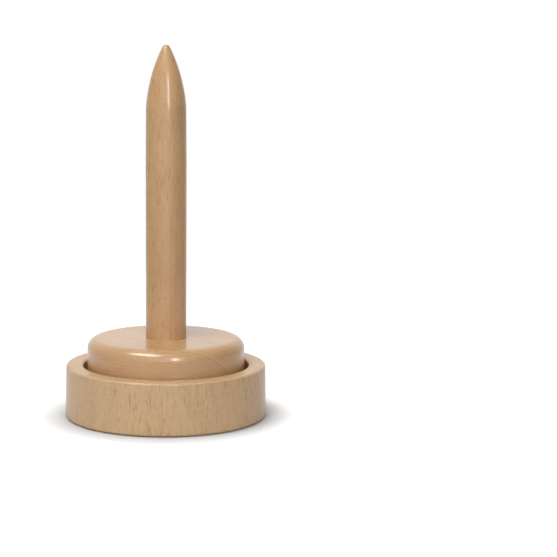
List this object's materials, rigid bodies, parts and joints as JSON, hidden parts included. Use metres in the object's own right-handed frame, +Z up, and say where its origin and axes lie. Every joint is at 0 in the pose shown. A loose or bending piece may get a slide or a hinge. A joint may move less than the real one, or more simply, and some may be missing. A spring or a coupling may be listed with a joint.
{
  "type": "yarn holder",
  "caption": "Turned beech yarn holder: a low round base with a recessed turntable on a flat ball bearing, and a tall spindle with a rounded point that the ball of yarn is pushed onto.",
  "frame": {"origin": "on the axis of rotation, in the plane that the pads stand on", "axes": "+Z up along the spindle's axis; +X towards the screwdriver hole in the base"},
  "size_m": [0.1264, 0.1264, 0.2326],
  "materials": {
    "beech": "satin clear lacquer over pale beech",
    "plate_steel": "zinc-plated pressed sheet",
    "cage_steel": "plain pressed sheet",
    "ball_steel": "polished hardened steel",
    "screw_steel": "yellow zinc-plated",
    "rubber": "matt"
  },
  "bodies": {
    "base": {"base": "beech", "lower_bearing_plate": "plate_steel", "lower_plate_screws": "screw_steel", "pads": "rubber"},
    "ball_train": {"ball_cage": "cage_steel", "balls": "ball_steel"},
    "turntable": {"turntable": "beech", "spindle": "beech", "spindle_screw": "screw_steel", "upper_bearing_plate": "plate_steel", "upper_plate_screws": "screw_steel"}
  },
  "joints": [
    {"name": "turntable_spin", "type": "hinge", "parent": "base", "child": "turntable", "pos_m": [0, 0, 0.0241], "axis": [0, 0, 1], "continuous": true},
    {"name": "ball_train_spin", "type": "hinge", "parent": "base", "child": "ball_train", "pos_m": [0, 0, 0.0241], "axis": [0, 0, 1], "continuous": true}
  ],
  "couplings": [
    {"joint": "ball_train_spin", "follows": "turntable_spin", "ratio": 0.5}
  ]
}
